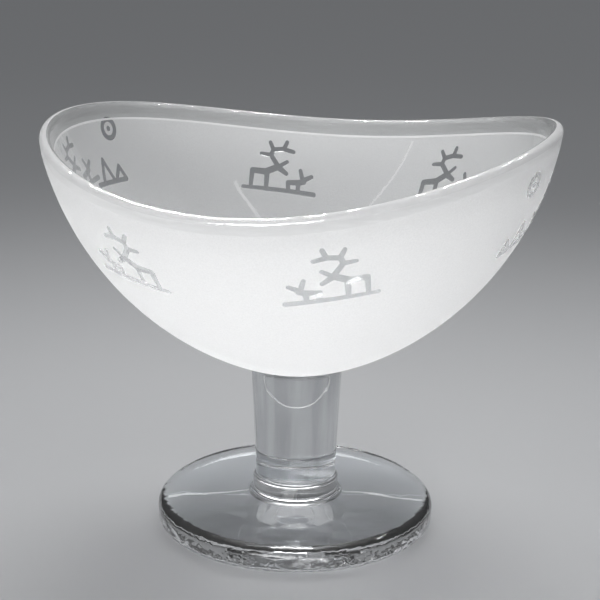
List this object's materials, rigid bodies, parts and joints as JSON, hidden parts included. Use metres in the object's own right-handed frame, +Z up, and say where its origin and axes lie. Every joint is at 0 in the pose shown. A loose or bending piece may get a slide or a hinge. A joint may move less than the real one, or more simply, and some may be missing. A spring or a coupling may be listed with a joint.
{
  "type": "footed bowl",
  "caption": "Glass bowl with a gently waved rim and a sandblasted outside, on a solid clear stem and a thick round clear foot.",
  "frame": {"origin": "middle of the foot's underside, on the surface that the bowl stands on", "axes": "+Z up along the stem, towards the rim; -Y is the side that the picture shows; the rim's high points lie near +X and -X"},
  "size_m": [0.1682, 0.1618, 0.1404],
  "materials": {
    "frosted_glass": "sandblasted matte outside with clear figures left by a mask, fire-polished glossy inside",
    "clear_glass": "clear, fire-polished",
    "foot_glass": "clear, fire-polished, ground flat underneath"
  },
  "bodies": {
    "root": {"bowl": "frosted_glass", "stem": "clear_glass", "foot": "foot_glass"}
  },
  "joints": []
}
